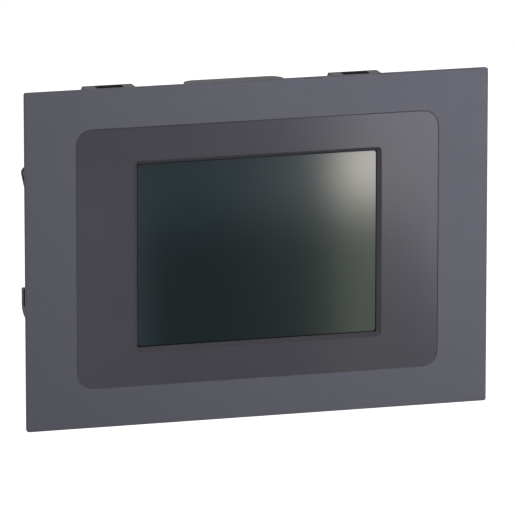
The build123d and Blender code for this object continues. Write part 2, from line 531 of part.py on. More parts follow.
def com1_pins():
    tip = BAY_Z - DSUB_FLANGE_T - DSUB_SHELL_L + 0.8
    pins = []
    for x, y in pin_places():
        pin = rod_z(x, y, DSUB_PIN_R, tip, BAY_Z + DSUB_PIN_ROOT)
        pins.append(fillet(pin.edges().group_by(Axis.Z)[0], 0.3))
    return together(pins)


def com1_jack_nuts():
    """Hexagonal nuts beside the shell, threaded for the cable's two locking screws."""
    face = BAY_Z - DSUB_FLANGE_T
    nuts = []
    for x in spaced(COM1_X, JACKSCREW_SPACING, 2):
        hexagon = Pos(x, DSUB_Y) * RegularPolygon(JACKNUT_AF / 2, 6, major_radius=False)
        nut = prism_z(hexagon, face - JACKSCREW_L, face) + rod_z(x, DSUB_Y, NUT_STEM_R, face, BAY_Z + 1.9)
        nuts.append(nut - rod_z(x, DSUB_Y, JACKSCREW_R, face - JACKSCREW_L, face))
    return together(nuts)


def small_port_outline(inset=0.0):
    """The narrow-footed outline of the five-way port, drawn in X and Y."""
    half, low, high = SMALL_W / 2 - inset, BOARD_Y1 + inset, BOARD_Y1 + SMALL_H - inset
    height = high - low
    points = [(-half, high), (half, high), (half, low + height * 0.4), (half * 0.8, low)]
    points += [(-half * 0.8, low), (-half, low + height * 0.4)]
    return Pos(MINI_USB_X, 0) * make_face(Polyline(*points, close=True))


def usb_shells():
    """Folded metal shells of the host port and of the small service port."""
    face, y0 = BAY_Z - JACK_PROUD, BOARD_Y1
    half, inner = HOST_W / 2, HOST_W / 2 - HOST_SHEET
    host = block(USB_X - half, USB_X + half, y0, y0 + HOST_H, face, face + HOST_L)
    host -= block(
        USB_X - inner, USB_X + inner, y0 + HOST_SHEET, y0 + HOST_H - HOST_SHEET, face, face + HOST_L - 0.4
    )
    foot = -BODY_H / 2 - JACK_PROUD
    small = prism_z(small_port_outline(), foot, foot + SMALL_L)
    small -= prism_z(small_port_outline(SMALL_SHEET), foot, foot + SMALL_L - 0.4)
    return together([host, small])


def usb_tongues():
    """Moulded contact carriers inside the two ports."""
    face, foot, y0 = BAY_Z - JACK_PROUD, -BODY_H / 2 - JACK_PROUD, BOARD_Y1
    half, low, high = HOST_TONGUE_W / 2, y0 + HOST_TONGUE_Y0, y0 + HOST_TONGUE_Y1
    host = block(USB_X - half, USB_X + half, low, high, face + 1.2, face + HOST_L - 0.5)
    half, low, high = SMALL_TONGUE_W / 2, y0 + SMALL_TONGUE_Y0, y0 + SMALL_TONGUE_Y1
    small = block(MINI_USB_X - half, MINI_USB_X + half, low, high, foot + 1.0, foot + SMALL_L - 0.5)
    return together([host, small])


# ---------------------------------------------------------------- power connector
def pole_places():
    return spaced(PLUG_X, PLUG_PITCH, PLUG_POLES)


def contact_pin(x):
    """Square pin bent at a right angle from the board into the plug."""
    x0, x1 = x - PIN_HALF, x + PIN_HALF
    along = block(x0, x1, PIN_Y0, PIN_Y1, PIN_TIP_Z, PIN_BACK_Z)
    return along + block(x0, x1, BOARD_Y1, PIN_Y1, PIN_BACK_Z - 2 * PIN_HALF, PIN_BACK_Z)


def power_header():
    """Shrouded socket on the board that the power plug pushes into."""
    gap, wall = HEADER_GAP, HEADER_WALL
    half = PLUG_W / 2 + gap + wall
    y1 = PLUG_NOSE_Y1 + gap + wall
    body = block(PLUG_X - half, PLUG_X + half, BOARD_Y1, y1, HEADER_FACE_Z, HEADER_BACK_Z)
    inner = half - wall
    room = block(PLUG_X - inner, PLUG_X + inner, PLUG_Y0 - gap, y1 - wall, HEADER_FACE_Z, PLUG_NOSE_Z + 0.5)
    return body - [room] - [contact_pin(x) for x in pole_places()]


def power_pins():
    return together([contact_pin(x) for x in pole_places()])


def power_plug():
    """Pull-off terminal block with a wire entry, a clamp pocket and a screw well for each pole."""
    half = PLUG_W / 2
    body = block(PLUG_X - half, PLUG_X + half, PLUG_Y0, PLUG_Y1, PLUG_FACE_Z, PLUG_TOP_Z)
    body = chamfer(body.edges().filter_by(Axis.X), PLUG_CHAMFER)
    body += block(PLUG_X - half, PLUG_X + half, PLUG_Y0, PLUG_NOSE_Y1, PLUG_TOP_Z - 1, PLUG_NOSE_Z)
    gap = 3 * SLACK
    wide, long = CAGE_W / 2 + gap, CAGE_L / 2 + gap
    pocket_y0, pocket_y1 = CAGE_Y0 - gap, CAGE_Y1 + CAGE_TRAVEL + gap
    reach, entry, pin = CONTACT_HALF + SLACK, WIRE_ENTRY_W / 2, PIN_HALF + 2 * SLACK
    bar_y0, bar_y1, socket_y0 = CONTACT_Y0 - SLACK, CONTACT_Y1 + SLACK, SOCKET_Y0 - SLACK
    for x in pole_places():
        body -= [
            block(x - wide, x + wide, pocket_y0, pocket_y1, CLAMP_Z - long, CLAMP_Z + long),
            rod_y(x, CLAMP_Z, CLAMP_SCREW_R + gap, pocket_y1, CLAMP_HEAD_Y),
            rod_y(x, CLAMP_Z, CLAMP_HEAD_R + 2 * SLACK, CLAMP_HEAD_Y, PLUG_Y1),
            block(x - entry, x + entry, CAGE_Y0 + 0.2, CONTACT_Y1, PLUG_FACE_Z, CLAMP_Z),
            block(x - reach, x + reach, bar_y0, bar_y1, CLAMP_Z, SOCKET_LOW),
            block(x - reach, x + reach, socket_y0, bar_y1, SOCKET_LOW - 2 * SLACK, SOCKET_HIGH + 2 * SLACK),
            block(x - pin, x + pin, PIN_Y0 - 2 * SLACK, PIN_Y1 + 2 * SLACK, SOCKET_HIGH, PLUG_NOSE_Z),
        ]
    return body


def plug_contacts():
    """Current bar of each pole, ending in a square socket for the header's pin."""
    bars = []
    for x in pole_places():
        low, high, pin = x - CONTACT_HALF, x + CONTACT_HALF, PIN_HALF + SLACK
        bar = block(low, high, CONTACT_Y0, CONTACT_Y1, CLAMP_Z - 2.6, SOCKET_LOW)
        bar += block(low, high, SOCKET_Y0, CONTACT_Y1, SOCKET_LOW, SOCKET_HIGH)
        bars.append(bar - block(x - pin, x + pin, PIN_Y0 - SLACK, PIN_Y1 + SLACK, SOCKET_LOW, SOCKET_HIGH))
    return together(bars)


def clamp_screw(x):
    """Captive slotted screw of one pole."""
    top = CLAMP_HEAD_Y + CLAMP_HEAD_T
    head = rod_y(x, CLAMP_Z, CLAMP_HEAD_R, CLAMP_HEAD_Y, top)
    head = fillet(head.edges().group_by(Axis.Y)[-1], 0.3)
    reach, half = CLAMP_HEAD_R, CLAMP_SLOT_W / 2
    slot = block(x - reach, x + reach, top - CLAMP_SLOT_DEPTH, top, CLAMP_Z - half, CLAMP_Z + half)
    return head - slot + rod_y(x, CLAMP_Z, CLAMP_SCREW_R, CLAMP_TIP_Y, CLAMP_HEAD_Y)


def wire_clamp(x):
    """Rising cage of one pole, with a hole in its roof for the screw."""
    half, long = CAGE_W / 2, CAGE_L / 2
    inner, roof = half - CAGE_SIDE, CAGE_Y1 - CAGE_ROOF
    cage = block(x - half, x + half, CAGE_Y0, CAGE_Y1, CLAMP_Z - long, CLAMP_Z + long)
    cage -= block(x - inner, x + inner, CAGE_Y0 + CAGE_FLOOR, roof, CLAMP_Z - long, CLAMP_Z + long)
    return cage - rod_y(x, CLAMP_Z, CLAMP_SCREW_R + SLACK, roof, CAGE_Y1)


# ---------------------------------------------------------------- behind the side door
def sd_socket():
    """Memory-card socket whose mouth faces the side door."""
    body = block(SD_X0, SD_X1, BOARD_Y1, SD_END, SD_LOW, SD_HIGH)
    low, high = (SD_LOW + SD_HIGH - CARD_W) / 2, (SD_LOW + SD_HIGH + CARD_W) / 2
    return body - block(SD_X0, SD_X1 - 3, BOARD_Y1 + SD_SHEET, SD_END - SD_SHEET, low, high)


def dip_places():
    return spaced(DIP_Z, DIP_PITCH, DIP_POLES)


def dip_switch():
    """Side-operated switch block with a guide slot for each slider."""
    body = block(DIP_X0, DIP_X1, BOARD_Y1, DIP_Y1, DIP_Z - DIP_W / 2, DIP_Z + DIP_W / 2)
    reach = DIP_SLIDER / 2 + 0.1
    y0, y1 = DIP_SLIDER_Y0 - 0.1, DIP_SLIDER_Y0 + DIP_SLIDER + DIP_TRAVEL + 0.1
    for z in dip_places():
        body -= block(DIP_X0, DIP_X0 + 1.6, y0, y1, z - reach, z + reach)
    return body


def dip_slider(z):
    reach = DIP_SLIDER / 2
    y1 = DIP_SLIDER_Y0 + DIP_SLIDER
    return block(DIP_X0 - DIP_PROUD, DIP_X0 + 1.5, DIP_SLIDER_Y0, y1, z - reach, z + reach)


def reset_switch():
    """Body of the push switch, bored for its plunger."""
    half, x0 = RESET_BODY / 2, RESET_X1 - RESET_DEPTH - 0.8
    body = block(x0, RESET_X1, BOARD_Y1, BOARD_Y1 + RESET_BODY, RESET_Z - half, RESET_Z + half)
    return body - rod_x(RESET_Y, RESET_Z, RESET_R + SLACK, x0, x0 + RESET_DEPTH)


def reset_button():
    root = RESET_X1 - 0.8 - RESET_TRAVEL - SLACK
    plunger = rod_x(RESET_Y, RESET_Z, RESET_R, RESET_TIP_X, root)
    return fillet(plunger.edges().group_by(Axis.X)[0], 0.3)


def side_door():
    """Access door with its hinge barrel at the top and a grooved finger grip at its foot."""
    x1 = DOOR_FACE_X + DOOR_T
    barrel_y0, barrel_y1 = DOOR_OPENING_Y0 + 0.3, DOOR_OPENING_Y1 - 0.3
    body = block(DOOR_FACE_X, x1, DOOR_Y0, DOOR_Y1, DOOR_LOW, DOOR_HIGH)
    body = fillet(body.edges().filter_by(Axis.X).group_by(Axis.Z)[0], DOOR_CORNER_R)
    grip_foot = DOOR_LOW + 0.4
    grip_side = Polyline(
        (DOOR_FACE_X, grip_foot), (DOOR_FACE_X, GRIP_HIGH), (GRIP_X, GRIP_HIGH), (GRIP_X, GRIP_FLAT_LOW)
    )
    grip_curve = TangentArc((GRIP_X, GRIP_FLAT_LOW), (DOOR_FACE_X, grip_foot), tangent=(0, -1))
    latch_low = DOOR_OPENING_LOW + 0.2
    body += [
        block(DOOR_FACE_X, x1, barrel_y0, barrel_y1, DOOR_HIGH - 0.5, HINGE_Z),
        rod_y(HINGE_X, HINGE_Z, HINGE_BARREL_R, barrel_y0, barrel_y1),
        prism_y(make_face(grip_side + grip_curve), DOOR_Y0 + 4, DOOR_Y1),
        block(x1, x1 + LATCH_L, LATCH_Y0, LATCH_Y0 + LATCH_W, latch_low, latch_low + LATCH_T),
    ]
    groove = block(GRIP_X, GRIP_X + GROOVE_SUNK, GROOVE_Y0, GROOVE_Y1, GRIP_FLAT_LOW, GRIP_HIGH)
    return body - groove - rod_y(HINGE_X, HINGE_Z, HINGE_PIN_R + HINGE_CLEARANCE, barrel_y0, barrel_y1)


def door_hinge_pin():
    y0, y1 = DOOR_OPENING_Y0 - EAR_T, DOOR_OPENING_Y1 + EAR_T
    return rod_y(HINGE_X, HINGE_Z, HINGE_PIN_R, y0, y1)


# ---------------------------------------------------------------- rear case
def lug(x):
    """Slant-sided block on the case; a fixing clamp hooks into its slot and pulls on the slot's rear wall."""
    base, top = BODY_H / 2 - LUG_ROOT, LUG_TOP
    half_base, half_top = LUG_BASE_W / 2, LUG_TOP_W / 2
    points = [(x - half_base, base), (x - half_top, top), (x + half_top, top), (x + half_base, base)]
    body = prism_y(make_face(Polyline(*points, close=True)), CASE_FLANGE_END, LUG_END)
    half = SLOT_W / 2
    return body - block(x - half, x + half, SLOT_Y0, SLOT_Y1, top - SLOT_DEPTH, top)


def hood():
    """Hollow raised cover on the top of the case, rounded at its rear corners."""
    low, high = BODY_H / 2 - LUG_ROOT, LUG_TOP
    half = HOOD_W / 2
    body = block(-half, half, CASE_FLANGE_END, LUG_END, low, high)
    rear_edges = body.edges().filter_by(Axis.Z).group_by(Axis.Y)[-1]
    return fillet(rear_edges, HOOD_R)


def rear_case():
    """Moulded rear shell: flange, main body, raised back, clamp lugs, vents and connector bay."""
    middle, hump_h = (HUMP_HIGH + HUMP_LOW) / 2, HUMP_HIGH - HUMP_LOW
    body = panel(BODY_W, BODY_H, BODY_R, RIM_END, BODY_END)
    body = fillet(body.faces().sort_by(Axis.Y)[-1].edges(), BODY_EDGE_R)
    back = panel(HUMP_W, hump_h, HUMP_R, BODY_END - WALL, HUMP_END, z=middle)
    back = fillet(back.faces().sort_by(Axis.Y)[-1].edges(), HUMP_EDGE_R)
    body += [back, panel(RIM_W, RIM_H, RIM_R, RIM_END, CASE_FLANGE_END)]
    body -= block(-BAY_W / 2, BAY_W / 2, CASE_FLANGE_END, BODY_END, -BODY_H / 2, BAY_Z)
    lugs = [lug(x) for x in (-LUG_X, LUG_X)]
    body += lugs + [mirror(made, about=Plane.XY) for made in lugs] + [hood()] + hinge_ears()
    body = body - case_hollow(middle, hump_h) + locating_lip()
    return body - case_openings() - vents()


def locating_lip():
    """Raised edge that enters the bezel's rim, broken at the screw bosses."""
    inset, low = 2 * (RIM_T + LIP_GAP), RIM_END - LIP_H
    lip = ring((RIM_W - inset, RIM_H - inset, 1.2), (BODY_W - 1.0, BODY_H - 1.0, 1.0), low, RIM_END)
    return lip - [rod_y(x, z, LIP_BOSS_GAP_R, low, RIM_END) for x, z in CASE_SCREWS]


def hinge_ears():
    """Two ears on the side wall that hold the door's hinge pin, rounded above and slanting below."""
    wall_x = -BODY_W / 2
    round_end = Pos(HINGE_X, HINGE_Z) * Circle(HINGE_EAR_R)
    foot = Polyline((EAR_FOOT_X, EAR_FOOT_Z), (wall_x, EAR_LOW), (wall_x, HINGE_Z + HINGE_EAR_R))
    outline = make_hull(round_end.edges() + foot.edges())
    ears = []
    for y0 in (DOOR_OPENING_Y0 - EAR_T, DOOR_OPENING_Y1):
        root = block(wall_x, wall_x + WALL, y0, y0 + EAR_T, EAR_LOW, DOOR_OPENING_HIGH)
        ears += [prism_y(outline, y0, y0 + EAR_T), root]
    return ears


def case_hollow(middle, hump_h):
    """The room inside the case."""
    room = panel(BODY_W - 2 * WALL, BODY_H - 2 * WALL, BODY_R - WALL, RIM_END, BODY_END - WALL)
    bay = BAY_W / 2 + WALL
    room -= block(-bay, bay, RIM_END, BODY_END, -BODY_H / 2, BAY_Z + WALL)
    thin = 2 * WALL
    room += panel(HUMP_W - thin, hump_h - thin, HUMP_R - WALL, BODY_END - WALL, HUMP_END - WALL, z=middle)
    half = HOOD_W / 2 - WALL
    inside = BODY_H / 2 - WALL - 1
    under_hood = block(-half, half, CASE_FLANGE_END + WALL, LUG_END - WALL, inside, LUG_TOP - WALL)
    return room + fillet(under_hood.edges().filter_by(Axis.Z).group_by(Axis.Y)[-1], HOOD_R - WALL)


def case_openings():
    """Holes for the connectors, the plug, the door, the hinge pin and the case screws."""
    gap, low, board = 0.2, BAY_Z - 1, BOARD_Y1
    bay_roof = BAY_Z + WALL
    cuts = [rod_y(x, z, CASE_SCREW_HOLE_R, RIM_END, CASE_FLANGE_END) for x, z in CASE_SCREWS]
    for x in (ETHERNET_X, COM2_X):
        half = JACK_W / 2 + gap
        cuts.append(block(x - half, x + half, board - gap, board + JACK_H + gap, low, bay_roof))
    half, rise = DSUB_BLOCK_W / 2 + gap, DSUB_BLOCK_H / 2 + gap
    cuts.append(block(COM1_X - half, COM1_X + half, DSUB_Y - rise, DSUB_Y + rise, BAY_Z, bay_roof))
    for x in spaced(COM1_X, JACKSCREW_SPACING, 2):
        cuts.append(rod_z(x, DSUB_Y, DSUB_HOLE_R, BAY_Z, bay_roof))
    half = HOST_W / 2 + gap
    cuts.append(block(USB_X - half, USB_X + half, board - gap, board + HOST_H + gap, low, bay_roof))
    floor, top = -BODY_H / 2, -BODY_H / 2 + WALL + 0.6
    half = SMALL_W / 2 + gap
    cuts.append(block(MINI_USB_X - half, MINI_USB_X + half, board - gap, board + SMALL_H + gap, floor, top))
    half = PLUG_W / 2 + HEADER_GAP + HEADER_WALL + gap
    header_y1 = PLUG_NOSE_Y1 + HEADER_GAP + HEADER_WALL + gap
    cuts.append(block(PLUG_X - half, PLUG_X + half, board - gap, header_y1, floor, top))
    side_x, y0, y1 = -BODY_W / 2, DOOR_OPENING_Y0, DOOR_OPENING_Y1
    cuts.append(block(side_x, side_x + WALL, y0, y1, DOOR_OPENING_LOW, DOOR_OPENING_HIGH))
    cuts.append(rod_y(HINGE_X, HINGE_Z, HINGE_PIN_R + 0.01, y0 - EAR_T, y1 + EAR_T))
    return cuts


def vents():
    """Cooling slots in the raised back: two banks in its rear face, and a row in its top and foot."""
    places = [(VENT_FIRST_X + i * VENT_PITCH, z) for i in range(VENT_COUNT) for z in VENT_ROWS]
    inside = HUMP_END - WALL
    slots = [panel(VENT_W, VENT_L, VENT_W / 2 - 0.01, inside, HUMP_END, x, z) for x, z in places]
    half, y0, y1 = VENT_W / 2, BODY_END + SIDE_VENT_MARGIN, inside - SIDE_VENT_MARGIN
    for x in spaced(0, SIDE_VENT_PITCH, SIDE_VENT_COUNT):
        slots.append(block(x - half, x + half, y0, y1, HUMP_HIGH - WALL, HUMP_HIGH))
        slots.append(block(x - half, x + half, y0, y1, HUMP_LOW, HUMP_LOW + WALL))
    return slots


def case_screws():
    return together([pan_screw(x, z, CASE_FLANGE_END, BOSS_FLOOR_Y + 1) for x, z in CASE_SCREWS])


def rating_label():
    """Blank self-adhesive plate on the back."""
    return panel(LABEL_W, LABEL_H, LABEL_R, HUMP_END, HUMP_END + LABEL_T, LABEL_X, LABEL_Z)


# ---------------------------------------------------------------- write every node
NODES = [
    front_bezel, front_overlay, panel_gasket,
    touch_tape, touch_film, touch_glass, touch_tail,
    lcd_gasket, lcd_metal_frame, lcd_cell, diffuser_films, light_guide,
    led_bar, lcd_back_tray, lcd_screws, lcd_ribbon,
    shield_plate, chassis_screws, board_standoffs, board_screws, main_board,
    processor_chip, thermal_pad, heat_sink, memory_chips, power_capacitors, transformer,
    coin_cell_holder, coin_cell, ribbon_sockets,
    modular_jacks, jack_contacts, com1_shell, com1_insulator, com1_pins, com1_jack_nuts,
    usb_shells, usb_tongues, power_header, power_pins, power_plug, plug_contacts,
    sd_socket, dip_switch, reset_switch, reset_button,
    side_door, door_hinge_pin, rear_case, case_screws, rating_label,
]  # fmt: skip


def main():
    os.makedirs("parts", exist_ok=True)
    shapes = {make.__name__: make() for make in NODES}
    for i, x in enumerate(pole_places(), 1):
        shapes[f"clamp_screw_{i}"] = clamp_screw(x)
        shapes[f"wire_clamp_{i}"] = wire_clamp(x)
    for i, z in enumerate(dip_places(), 1):
        shapes[f"dip_slider_{i}"] = dip_slider(z)
    for name, shape in shapes.items():
        export_step(shape, f"parts/{name}.step")


main()
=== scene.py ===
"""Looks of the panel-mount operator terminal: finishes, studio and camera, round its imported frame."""

import json
import math

import bpy
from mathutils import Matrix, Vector


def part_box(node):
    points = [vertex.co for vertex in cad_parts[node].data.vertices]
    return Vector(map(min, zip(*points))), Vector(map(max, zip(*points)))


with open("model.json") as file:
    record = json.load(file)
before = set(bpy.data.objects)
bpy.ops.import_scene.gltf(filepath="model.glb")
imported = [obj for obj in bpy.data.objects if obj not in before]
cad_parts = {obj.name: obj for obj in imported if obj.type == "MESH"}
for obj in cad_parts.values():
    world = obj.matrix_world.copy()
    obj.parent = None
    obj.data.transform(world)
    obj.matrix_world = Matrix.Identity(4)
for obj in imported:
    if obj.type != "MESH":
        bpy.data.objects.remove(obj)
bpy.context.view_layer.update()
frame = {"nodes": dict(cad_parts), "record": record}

NODES = frame["nodes"]
MM = 0.001


# ---------------------------------------------------------------- node helpers
class Finish:
    """A material under construction: keeps the node tree, the surface shader and the object's own coordinates."""

    def __init__(self, name, color, roughness, metallic=0.0):
        self.material = bpy.data.materials.new(name)
        self.material.use_nodes = True
        self.tree = self.material.node_tree
        self.shader = self.tree.nodes["Principled BSDF"]
        self.shader.inputs["Base Color"].default_value = (*color, 1)
        self.shader.inputs["Roughness"].default_value = roughness
        self.shader.inputs["Metallic"].default_value = metallic
        self.coords = self.node("ShaderNodeTexCoord").outputs["Object"]

    def node(self, kind, **settings):
        made = self.tree.nodes.new(kind)
        for key, value in settings.items():
            setattr(made, key, value)
        return made

    def link(self, source, target):
        self.tree.links.new(source, target)

    def feed(self, socket, value):
        """Links value to the socket if it comes from a node, or else sets it there."""
        if hasattr(value, "links"):
            self.link(value, socket)
        else:
            socket.default_value = value

    def set(self, **values):
        for key, value in values.items():
            self.shader.inputs[key.replace("_", " ")].default_value = value
        return self

    def stretched(self, x=1.0, y=1.0, z=1.0):
        mapping = self.node("ShaderNodeMapping")
        mapping.inputs["Scale"].default_value = (x, y, z)
        self.link(self.coords, mapping.inputs["Vector"])
        return mapping.outputs["Vector"]

    def noise(self, size_mm, detail=2.0, vector=None):
        """Noise whose lumps are about size_mm across."""
        made = self.node("ShaderNodeTexNoise")
        made.inputs["Scale"].default_value = 1.0 / (size_mm * MM)
        made.inputs["Detail"].default_value = detail
        self.link(vector or self.coords, made.inputs["Vector"])
        return made.outputs["Fac"]

    def cells(self, size_mm):
        made = self.node("ShaderNodeTexVoronoi")
        made.inputs["Scale"].default_value = 1.0 / (size_mm * MM)
        self.link(self.coords, made.inputs["Vector"])
        return made.outputs["Distance"]

    def math(self, operation, a, b):
        made = self.node("ShaderNodeMath", operation=operation)
        self.feed(made.inputs[0], a)
        self.feed(made.inputs[1], b)
        return made.outputs[0]

    def spread(self, factor, low, high, start=0.3, end=0.7, kind="LINEAR"):
        """Maps factor from start..end onto low..high."""
        made = self.node("ShaderNodeMapRange", interpolation_type=kind)
        self.link(factor, made.inputs["Value"])
        for name, value in (("From Min", start), ("From Max", end), ("To Min", low), ("To Max", high)):
            made.inputs[name].default_value = value
        return made.outputs["Result"]

    def smooth(self, factor, start, end):
        """Eases from 0 at start to 1 at end, whichever is larger."""
        if start < end:
            return self.spread(factor, 0.0, 1.0, start, end, "SMOOTHSTEP")
        return self.spread(factor, 1.0, 0.0, end, start, "SMOOTHSTEP")

    def mix(self, factor, a, b):
        """Colour a where factor is 0 and colour b where it is 1."""
        made = self.node("ShaderNodeMix", data_type="RGBA")
        self.link(factor, made.inputs["Factor"])
        for socket, value in ((made.inputs[6], a), (made.inputs[7], b)):
            self.feed(socket, value if hasattr(value, "links") else (*value, 1))
        return made.outputs[2]

    def color(self, source):
        self.link(source, self.shader.inputs["Base Color"])
        return self

    def roughness(self, source):
        self.link(source, self.shader.inputs["Roughness"])
        return self

    def bump(self, height, depth_mm, strength=1.0):
        made = self.node("ShaderNodeBump")
        made.inputs["Strength"].default_value = strength
        made.inputs["Distance"].default_value = depth_mm * MM
        self.link(height, made.inputs["Height"])
        self.link(made.outputs["Normal"], self.shader.inputs["Normal"])
        return self

    def edge_mask(self, radius_mm):
        """1 along convex and concave edges, 0 on open faces."""
        rounded = self.node("ShaderNodeBevel", samples=4)
        rounded.inputs["Radius"].default_value = radius_mm * MM
        plain = self.node("ShaderNodeNewGeometry")
        dot = self.node("ShaderNodeVectorMath", operation="DOT_PRODUCT")
        self.link(rounded.outputs["Normal"], dot.inputs[0])
        self.link(plain.outputs["Normal"], dot.inputs[1])
        return self.spread(dot.outputs["Value"], 1.0, 0.0, 0.75, 0.99)

    def painted_shade_mask(self, reach_mm):
        """0 deep inside slots and holes, 1 on open faces; it marks where shade is painted."""
        hollow = self.node("ShaderNodeAmbientOcclusion", samples=8)
        hollow.inputs["Distance"].default_value = reach_mm * MM
        return self.spread(hollow.outputs["AO"], 0.0, 1.0, 0.5, 0.9)

    def mix_value(self, factor, a, b):
        """Number a where factor is 0 and number b where it is 1."""
        made = self.node("ShaderNodeMix", data_type="FLOAT")
        self.link(factor, made.inputs["Factor"])
        self.feed(made.inputs[2], a)
        self.feed(made.inputs[3], b)
        return made.outputs[0]

    def outside_rounded(self, width_mm, height_mm, corner_mm, shift_mm=0.0):
        """1 outside an upright rounded rectangle, moved right and up by the shift, and 0 within it."""
        corner, beyond = corner_mm * MM, []
        for axis, across in (("X", width_mm), ("Z", height_mm)):
            out = self.math("ABSOLUTE", self.math("SUBTRACT", self.place(axis), shift_mm * MM), 0)
            beyond.append(self.math("MAXIMUM", self.math("SUBTRACT", out, across / 2 * MM - corner), 0.0))
        squares = [self.math("MULTIPLY", b, b) for b in beyond]
        away = self.math("SQRT", self.math("ADD", *squares), 0)
        return self.math("GREATER_THAN", away, corner)

    def inside_window(self):
        """1 on the bevel of the display window, 0 elsewhere."""
        low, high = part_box("touch_film")
        across = self.math("LESS_THAN", self.math("ABSOLUTE", self.place("X"), 0), high.x)
        up = self.math("LESS_THAN", self.math("ABSOLUTE", self.place("Z"), 0), high.z)
        return self.math("MULTIPLY", across, up)

    def place(self, axis):
        """The object's own coordinate along X, Y or Z."""
        split = self.node("ShaderNodeSeparateXYZ")
        self.link(self.coords, split.inputs[0])
        return split.outputs[axis]


def scaled(color, factor):
    return tuple(min(1.0, c * factor) for c in color)


# ---------------------------------------------------------------- finishes
def powder_coat(name, color, window_color):
    """Fine-textured stoved paint with faint cloudiness and edges painted lighter, as slight wear and as a highlight;
    the window's bevel is darker.
    """
    f = Finish(name, color, 0.5).set(Specular_IOR_Level=0.24)
    cloud = f.mix(f.spread(f.noise(35, 3), 0, 1), scaled(color, 0.97), scaled(color, 1.03))
    speck = f.mix(f.spread(f.noise(0.5, 1), 0, 1, 0.35, 0.65), scaled(color, 0.95), scaled(color, 1.05))
    body = f.mix(f.spread(f.noise(2.5, 2), 0.3, 0.7), cloud, speck)
    # edges painted lighter: partly slight wear, partly a painted highlight
    body = f.mix(f.math("MULTIPLY", f.edge_mask(0.35), 0.3), body, scaled(color, 1.6))
    f.color(f.mix(f.inside_window(), body, window_color))
    f.roughness(f.spread(f.noise(6, 3), 0.46, 0.54))
    return f.bump(f.noise(0.45, 2), 0.012, 0.5).material


def printed_film(name, color):
    """Satin film with a printed back and very fine stipple, and a painted shadow line along its upper and right edges.
    """
    f = Finish(name, color, 0.15)
    shade = f.mix(f.spread(f.noise(30, 2), 0, 1), scaled(color, 0.97), scaled(color, 1.03))
    # painted shadow: a dark, matt line along the sheet's upper and right edges
    painted_edge_shadow = f.outside_rounded(*SHEET, shift_mm=-EDGE_SHADOW_WIDTH)
    f.color(f.mix(painted_edge_shadow, shade, scaled(color, 0.45)))
    f.roughness(f.mix_value(painted_edge_shadow, f.spread(f.noise(0.4, 2), 0.148, 0.152), 0.7))
    f.link(f.mix_value(painted_edge_shadow, 0.15, 0.05), f.shader.inputs["Specular IOR Level"])
    return f.bump(f.noise(0.12, 1), 0.0002, 0.3).material


def display_face(name, color):
    """Unlit display behind an anti-glare touch film, with a thin black border that has rounded corners; the border is
    partly the film's black mask and partly painted shade of the gap at the window's edge, kept near black and without
    reflection.
    """
    f = Finish(name, color, 0.09)
    shade = f.mix(f.spread(f.noise(60, 1), 0, 1), scaled(color, 0.9), scaled(color, 1.1))
    # border: the film's black mask and painted shade of the gap at the window's edge
    mask_and_gap_shade = f.outside_rounded(*DISPLAY)
    f.color(f.mix(mask_and_gap_shade, shade, (0.003, 0.003, 0.003)))
    f.roughness(f.mix_value(mask_and_gap_shade, f.spread(f.noise(0.3, 1), 0.075, 0.11), 0.8))
    f.link(f.mix_value(mask_and_gap_shade, 0.5, 0.0), f.shader.inputs["Specular IOR Level"])
    return f.bump(f.noise(0.08, 1), 0.001, 0.35).material


def moulded(name, color, roughness=0.45, grain_mm=0.35, depth_mm=0.02, edge_wear_and_highlight=0.25, shade_reach_mm=0.0):
    """Moulded plastic with spark-eroded grain, faint flow marks, edges painted lighter as wear and as a highlight, and
    painted shade in recesses.
    """
    f = Finish(name, color, roughness)
    flow = f.noise(14, 3, f.stretched(1.0, 1.0, 0.35))
    body = f.mix(f.spread(flow, 0, 1), scaled(color, 0.93), scaled(color, 1.07))
    if edge_wear_and_highlight:
        # edges painted lighter: partly wear, partly a painted highlight
        body = f.mix(f.math("MULTIPLY", f.edge_mask(0.4), edge_wear_and_highlight), body, scaled(color, 1.9))
    if shade_reach_mm:
        # painted shade: slots, holes and other recesses darkened to near black
        body = f.mix(f.painted_shade_mask(shade_reach_mm), scaled(color, 0.05), body)
    f.color(body)
    f.roughness(f.spread(f.noise(3, 3), roughness - 0.05, roughness + 0.06))
    return f.bump(f.noise(grain_mm, 3), depth_mm, 0.6).material


def rubber(name, color):
    f = Finish(name, color, 0.72)
    f.color(f.mix(f.spread(f.noise(8, 3), 0, 1), color, scaled(color, 1.6)))
    return f.bump(f.noise(0.6, 3), 0.04, 0.6).material


def sheet_metal(name, color, roughness=0.32, grain=(1.0, 1.0, 18.0)):
    """Rolled or plated sheet with fine lines along it and faint stains."""
    f = Finish(name, color, roughness, 1.0)
    lines = f.noise(2.5, 3, f.stretched(*grain))
    f.color(f.mix(f.spread(f.noise(9, 3), 0, 1), scaled(color, 0.88), color))
    f.roughness(f.spread(lines, roughness - 0.09, roughness + 0.1))
    return f.bump(lines, 0.006, 0.5).material


def machined(name, color, roughness=0.28):
    """Plated fastener: turned rings are lost in a fine even grain; its edges are painted lighter than its faces as a
    highlight.
    """
    f = Finish(name, color, roughness, 1.0)
    # painted highlight: edges lighter, open faces darker
    f.color(f.mix(f.edge_mask(0.25), scaled(color, 0.82), scaled(color, 1.15)))
    f.roughness(f.spread(f.noise(0.5, 3), roughness - 0.07, roughness + 0.1))
    return f.bump(f.noise(0.25, 2), 0.006, 0.5).material


